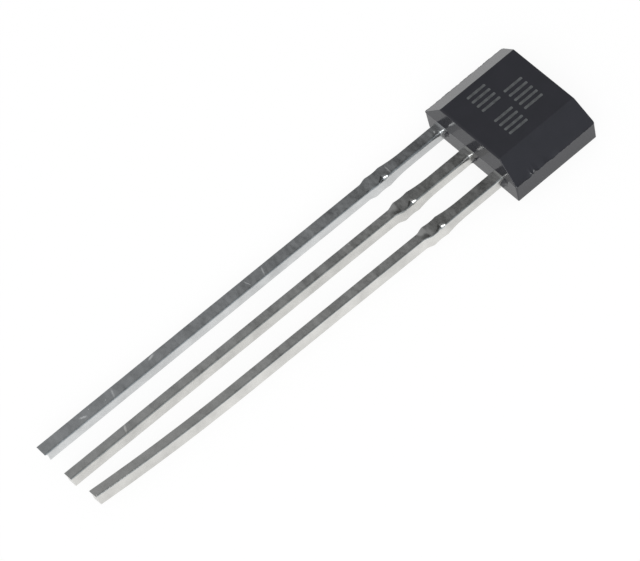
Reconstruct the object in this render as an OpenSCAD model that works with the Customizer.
// Flat three-pin Hall effect sensor. A moulded epoxy body with sloping
// shoulders holds three stamped leads, and the sensing die sits on a paddle
// inside it. Each lead keeps the stub of the dam bar that joined it to its
// neighbours while the body was moulded.
//
// Millimetres. The origin is the centre of the flat back face. +Z runs out of
// the front face, and the leads run towards -Y.

/* [Body] */
// Width of the body across its parting line
body_w = 4.06; // [3.90:0.01:4.30]
// Length of the body from end to end along its parting line
body_len = 3.14; // [3.05:0.01:3.40]
// Thickness from the back face to the front face
body_t = 1.47; // [1.40:0.01:1.65]
// Height of the parting line above the back face
parting_z = 0.77; // [0.66:0.01:0.86]
// Slope of the two shoulders, away from upright
shoulder_angle = 46; // [38:1:48]
// Draft of the two ends above the parting line
front_draft = 7; // [3:0.5:10]
// Draft of the two ends below the parting line
back_draft = 1; // [0.5:0.5:5]
// Draft of the two sides below the parting line
side_draft = 3; // [1:0.5:6]
// Radius of the four corners of the parting line
corner_r = 0.06; // [0.04:0.01:0.15]
// Radius round the edge of the front face and the back face
edge_r = 0.05; // [0.02:0.01:0.10]

/* [Mould marks] */
// Radius of the ejector pin's print in the back face
ejector_r = 0.45; // [0.30:0.01:0.55]
// Depth of the ejector pin's print
ejector_depth = 0.03; // [0.01:0.01:0.08]
// Distance of the ejector pin's print from the middle, towards the far end
ejector_y = 0.70; // [0.60:0.01:0.80]
// Width of the broken gate on the far end
gate_w = 0.80; // [0.40:0.05:1.20]
// Height of the broken gate
gate_h = 0.16; // [0.10:0.01:0.30]
// How far the broken gate stands out of the far end
gate_out = 0.03; // [0.01:0.01:0.08]

/* [Leads] */
// Distance from one lead to the next where they leave the body
lead_pitch = 1.27; // [1.20:0.01:1.34]
// Sideways offset of the lead frame from the middle of the body
row_offset = -0.02; // [-0.05:0.01:0.05]
// Thickness of the lead sheet
lead_t = 0.38; // [0.33:0.01:0.45]
// Width of a lead between the body and the dam bar's stub
lead_w = 0.385; // [0.330:0.005:0.440]
// Width of the free lengths of the supply, ground and output leads
free_w = [0.41, 0.34, 0.36]; // [0.30:0.01:0.42]
// Reach of the supply, ground and output leads past the end of the body
reach = [15.43, 15.41, 15.29]; // [13:0.01:18]
// Sideways splay of the three free lengths
splay = [0.33, 0.52, 0.84]; // [0:0.01:1.5]
// Twist of the three free lengths about their own axes
twist = [0, 8, 12]; // [0:0.5:15]
// Where the output lead's gentle curl starts, from the end of the body
curl_from = 10.0; // [6:0.1:12]
// Radius of the output lead's curl
curl_r = 52; // [45:1:200]
// How much shorter the back edge of each sheared tip is than its front edge
shear_back = [0.11, 0.05, 0.05]; // [0.01:0.01:0.25]

/* [Dam bar stubs] */
// Distance from the end of the body to a stub's first shoulder
stub_at = 2.30; // [2.0:0.01:2.8]
// Distance between a stub's two shoulders
stub_len = 0.50; // [0.40:0.01:0.70]
// Height of the shoulders above the lead's edge
stub_out = 0.075; // [0.03:0.005:0.12]
// Depth of the hollow between the shoulders
stub_dip = 0.022; // [0:0.001:0.03]
// Length over which a lead widens to the first shoulder
stub_run_in = 0.80; // [0.3:0.01:1.2]
// Length over which a lead narrows after the second shoulder
stub_run_out = 0.30; // [0.2:0.01:0.6]

/* [Lead frame inside the body] */
// Depth in the body at which the outer leads' heads start
head_in = 0.30; // [0.20:0.01:0.40]
// Width of the outer leads' heads
head_w = 0.80; // [0.60:0.01:0.95]
// Length of the outer leads' heads
head_len = 0.62; // [0.50:0.01:0.70]
// Gap between the heads and the die paddle
paddle_gap = 0.22; // [0.15:0.01:0.25]
// Width of the die paddle on the ground lead
paddle_w = 1.90; // [1.60:0.01:2.20]
// Length of the die paddle
paddle_len = 1.60; // [1.40:0.01:1.65]
// Radius of the notches that key the leads into the epoxy
key_r = 0.10; // [0.05:0.01:0.14]

/* [Die and bond wires] */
// Width and length of the silicon die
die_size = [0.95, 0.85]; // [0.70:0.01:1.00]
// Thickness of the silicon die
die_t = 0.25; // [0.15:0.01:0.28]
// Thickness of the adhesive under the die
attach_t = 0.02; // [0.01:0.005:0.04]
// Width of the adhesive fillet round the die
attach_rim = 0.05; // [0.02:0.01:0.10]
// Distance of the bond pads from the die's edges
pad_inset = 0.10; // [0.06:0.01:0.14]
// Diameter of the bond wire
wire_d = 0.025; // [0.018:0.001:0.035]
// Diameter of the ball that bonds a wire to the die
ball_d = 0.07; // [0.05:0.005:0.09]
// Height of the ball
ball_h = 0.015; // [0.01:0.001:0.025]
// Height of a wire's loop above the die
loop_h = 0.12; // [0.08:0.005:0.15]

/* [Hidden] */
$fn = 64;

// The three leads in order, as places in the vectors above
SUPPLY = 0;
GROUND = 1;
OUTPUT = 2;

// Length by which a cutting or an intersecting shape runs past what it cuts
past = 0.4;
// Straight steps that stand for a round edge, a stub's curve and the curl
edge_steps = 4;
stub_steps = 8;
curl_steps = 10;

lead_top = parting_z;
lead_back = parting_z - lead_t;
end_y = -body_len / 2;
half_back_w = body_w / 2 - parting_z * tan(side_draft);
half_front_w = body_w / 2 - (body_t - parting_z) * tan(shoulder_angle);
half_back_len = body_len / 2 - parting_z * tan(back_draft);
half_front_len = body_len / 2 - (body_t - parting_z) * tan(front_draft);

head_y = end_y + head_in;
head_end_y = head_y + head_len;
paddle_y = head_end_y + paddle_gap;
die_y = paddle_y + paddle_len / 2;
die_z = lead_top + attach_t;
die_top = die_z + die_t;

stub_start = stub_at - stub_run_in;
stub_last = stub_at + stub_len;
stub_end = stub_last + stub_run_out;

function unit(v) = v / norm(v);

// The polygon pts with a round of radius r[i] at its corner i
function rounded(pts, r) = [
    for (i = [0 : len(pts) - 1])
        let (
            p = pts[i],
            u = unit(pts[(i + len(pts) - 1) % len(pts)] - p),
            v = unit(pts[(i + 1) % len(pts)] - p),
            half = acos(u * v) / 2,
            centre = p + unit(u + v) * r[i] / sin(half),
            from = p + u * r[i] / tan(half) - centre,
            to = p + v * r[i] / tan(half) - centre,
            start = atan2(from.y, from.x),
            turn = (atan2(to.y, to.x) - start + 540) % 360 - 180
        )
        each r[i] == 0 ? [p] : [
            for (k = [0 : edge_steps])
                let (a = start + turn * k / edge_steps)
                centre + r[i] * [cos(a), sin(a)]
        ]
];

// Upright section of the body: narrow back, widest at the parting line,
// narrow front
function upright_section(half_back, half_mid, half_front) = rounded([
    [-half_back, 0], [half_back, 0], [half_mid, parting_z],
    [half_front, body_t], [-half_front, body_t], [-half_mid, parting_z]
], [edge_r, edge_r, 0, edge_r, edge_r, 0]);

// How far a stub stands out of the lead's edge at the distance s from the
// body: a slow rise, two shoulders with a hollow between them, a quick fall
function stub_height(s) =
    s < stub_start || s > stub_end ? 0
    : s < stub_at ? stub_out * pow((s - stub_start) / stub_run_in, 2)
    : s < stub_last ? stub_out - stub_dip * sin(180 * (s - stub_at) / stub_len)
    : stub_out * (1 + cos(180 * (s - stub_last) / stub_run_out)) / 2;

// Half the width of a lead at the distance s from the body
function half_width(pin, s) =
    (s < stub_last ? lead_w
    : s > stub_end ? free_w[pin]
    : lead_w + (free_w[pin] - lead_w) * (s - stub_last) / stub_run_out) / 2
    + stub_height(s);

// Place of a lead's centre line across the body at the distance s from it
function lead_x(pin, s) =
    (pin - GROUND) * lead_pitch
    - max(s - stub_at, 0) * tan(splay[pin])
    - (pin == OUTPUT ? pow(max(s - curl_from, 0), 2) / (2 * curl_r) : 0);

// Distances from the body at which a lead's outline has a point
function stations(pin) = concat(
    [-head_in],
    [for (i = [0 : stub_steps]) stub_start + stub_run_in * i / stub_steps],
    [for (i = [1 : stub_steps]) stub_at + stub_len * i / stub_steps],
    [for (i = [1 : stub_steps]) stub_last + stub_run_out * i / stub_steps],
    pin == OUTPUT
        ? [for (i = [0 : curl_steps - 1])
            curl_from + (reach[pin] - curl_from) * i / curl_steps]
        : [],
    [reach[pin]]
);

// Outline of the stretch of a lead between two distances from the body
function lead_outline(pin, from, to) =
    let (
        at = [for (s = stations(pin)) if (s >= from && s <= to) s],
        last = len(at) - 1
    )
    concat(
        [for (i = [0 : last])
            [lead_x(pin, at[i]) - half_width(pin, at[i]), end_y - at[i]]],
        [for (i = [last : -1 : 0])
            [lead_x(pin, at[i]) + half_width(pin, at[i]), end_y - at[i]]]
    );

// A stamped shape as thick as the lead sheet, lying in the sheet's place
module stamped() {
    translate([0, 0, lead_back])
        linear_extrude(lead_t)
            children();
}

// Wedge that the shear takes off a lead's tip, most of it from the back
module shear_cut(pin) {
    tip_y = end_y - reach[pin];
    translate([lead_x(pin, reach[pin]), 0, 0])
        rotate([90, 0, 90])
            linear_extrude(4 * lead_w, center = true)
                polygon([
                    [tip_y, lead_top],
                    [tip_y + shear_back[pin], lead_back],
                    [tip_y + shear_back[pin], lead_back - past],
                    [tip_y - past, lead_back - past],
                    [tip_y - past, lead_top]
                ]);
}

// Turns a lead's free length about its own axis
module twisted(pin) {
    axis = [lead_x(pin, stub_last), 0, (lead_top + lead_back) / 2];
    translate(axis)
        rotate([0, -twist[pin], 0])
            translate(-axis)
                children();
}

// The strip of a lead from where it enters the body to its sheared tip. The
// free length overlaps the stub's narrowing end.
module lead_strip(pin) {
    stamped()
        polygon(lead_outline(pin, -head_in, stub_end));
    twisted(pin)
        difference() {
            stamped()
                polygon(lead_outline(pin, stub_last, reach[pin]));
            shear_cut(pin);
        }
}

// Head on the inner end of an outer lead: the wire's bond pad, keyed into
// the epoxy by a round notch in each side
module keyed_head(pin) {
    x = (pin - GROUND) * lead_pitch;
    stamped()
        difference() {
            translate([x - head_w / 2, head_y])
                square([head_w, head_len]);
            for (side = [-1, 1])
                translate([x + side * head_w / 2, head_y + head_len / 2])
                    circle(key_r);
        }
}

// Paddle that carries the die, keyed into the epoxy like the heads
module paddle() {
    stamped()
        difference() {
            translate([-paddle_w / 2, paddle_y])
                square([paddle_w, paddle_len]);
            for (side = [-1, 1])
                translate([side * paddle_w / 2, die_y])
                    circle(key_r);
        }
}

// Neck between the ground lead's strip and the paddle
module neck() {
    stamped()
        translate([-lead_w / 2, head_y - past / 2])
            square([lead_w, paddle_y - head_y + past]);
}

// Puts a piece of the lead frame, or what the frame carries, at its place in
// the body
module on_frame() {
    translate([row_offset, 0, 0])
        children();
}

module lead_supply() {
    color("#b4b8b9")
        on_frame() {
            lead_strip(SUPPLY);
            keyed_head(SUPPLY);
        }
}

module lead_ground() {
    color("#b4b8b9")
        on_frame() {
            lead_strip(GROUND);
            neck();
            paddle();
        }
}

module lead_output() {
    color("#b4b8b9")
        on_frame() {
            lead_strip(OUTPUT);
            keyed_head(OUTPUT);
        }
}

module die_attach() {
    color("#c9c6bb")
        on_frame()
            translate([-die_size.x / 2 - attach_rim,
                die_y - die_size.y / 2 - attach_rim, lead_top])
                cube([die_size.x + 2 * attach_rim,
                    die_size.y + 2 * attach_rim, attach_t]);
}

module hall_die() {
    color("#59636f")
        on_frame()
            translate([-die_size.x / 2, die_y - die_size.y / 2, die_z])
                cube([die_size.x, die_size.y, die_t]);
}

// Wire from a ball on the die at pad, over in one arc, and down to its stitch
// on the lead frame at stitch
module bond_wire(pad, stitch) {
    along = stitch - pad;
    span = norm(along);
    // The arc's top lies loop_h above the die and fall above the stitch, and
    // rise_run is how far along from the ball the top is
    drop = die_top - lead_top;
    fall = loop_h + drop;
    rise_run = (sqrt(loop_h * fall * (pow(span, 2) + pow(drop, 2)))
        - loop_h * span) / drop;
    arc_r = (pow(rise_run, 2) + pow(loop_h, 2)) / (2 * loop_h);
    // Both ends of the arc run a little past the faces that trim them
    spare = 360 * wire_d / (PI * arc_r);
    ball_side = acos(1 - loop_h / arc_r) + spare;
    stitch_side = acos(1 - fall / arc_r) + spare;
    color("#d9a93a")
        translate([row_offset + pad.x, pad.y, 0])
            rotate([0, 0, atan2(along.y, along.x)])
                difference() {
                    union() {
                        translate([0, 0, die_top])
                            cylinder(d = ball_d, h = ball_h);
                        translate([rise_run, 0, die_top + loop_h - arc_r])
                            rotate([90, 0, 0])
                                rotate([0, 0, 90 - stitch_side])
                                    rotate_extrude(
                                        angle = ball_side + stitch_side)
                                        translate([arc_r, 0])
                                            circle(d = wire_d);
                    }
                    translate([-past, -past / 2, die_top - past])
                        cube([past + ball_d / 2, past, past]);
                    translate([span - past, -past / 2, lead_top - past])
                        cube([2 * past, past, past]);
                }
}

// Place of a bond pad on the die: side is -1, 0 or 1 across it
function die_pad(side) = [
    side * (die_size.x / 2 - pad_inset),
    die_y - die_size.y / 2 + pad_inset
];

// Place of a wire's stitch on an outer lead's head
function head_stitch(pin) = [
    (pin - GROUND) * (lead_pitch - head_w / 4),
    head_end_y - head_len / 4
];

module bond_wire_supply() {
    bond_wire(die_pad(-1), head_stitch(SUPPLY));
}

// The ground wire goes down to the paddle itself, beside the die
module bond_wire_ground() {
    bond_wire(die_pad(0), [0, (paddle_y + die_y - die_size.y / 2
        - attach_rim) / 2]);
}

module bond_wire_output() {
    bond_wire(die_pad(1), head_stitch(OUTPUT));
}

// The moulding before anything is set into it: two tapered halves that meet
// at the parting line
module moulding() {
    intersection() {
        rotate([90, 0, 0])
            linear_extrude(body_len + past, center = true)
                polygon(upright_section(half_back_w, body_w / 2,
                    half_front_w));
        rotate([90, 0, 90])
            linear_extrude(body_w + past, center = true)
                polygon(upright_section(half_back_len, body_len / 2,
                    half_front_len));
        translate([0, 0, -past])
            linear_extrude(body_t + 2 * past)
                polygon(rounded([
                    [-body_w / 2, -body_len / 2],
                    [body_w / 2, -body_len / 2],
                    [body_w / 2, body_len / 2],
                    [-body_w / 2, body_len / 2]
                ], [corner_r, corner_r, corner_r, corner_r]));
    }
    translate([-gate_w / 2, 0, parting_z - gate_h])
        cube([gate_w, body_len / 2 + gate_out, gate_h]);
}

// The epoxy fills every space round the lead frame, the die and the wires
module body() {
    color("#26272b")
        difference() {
            moulding();
            translate([0, ejector_y, -past])
                cylinder(r = ejector_r, h = past + ejector_depth);
            lead_supply();
            lead_ground();
            lead_output();
            die_attach();
            hall_die();
            bond_wire_supply();
            bond_wire_ground();
            bond_wire_output();
        }
}

body();
lead_supply();
lead_ground();
lead_output();
hall_die();
die_attach();
bond_wire_supply();
bond_wire_ground();
bond_wire_output();
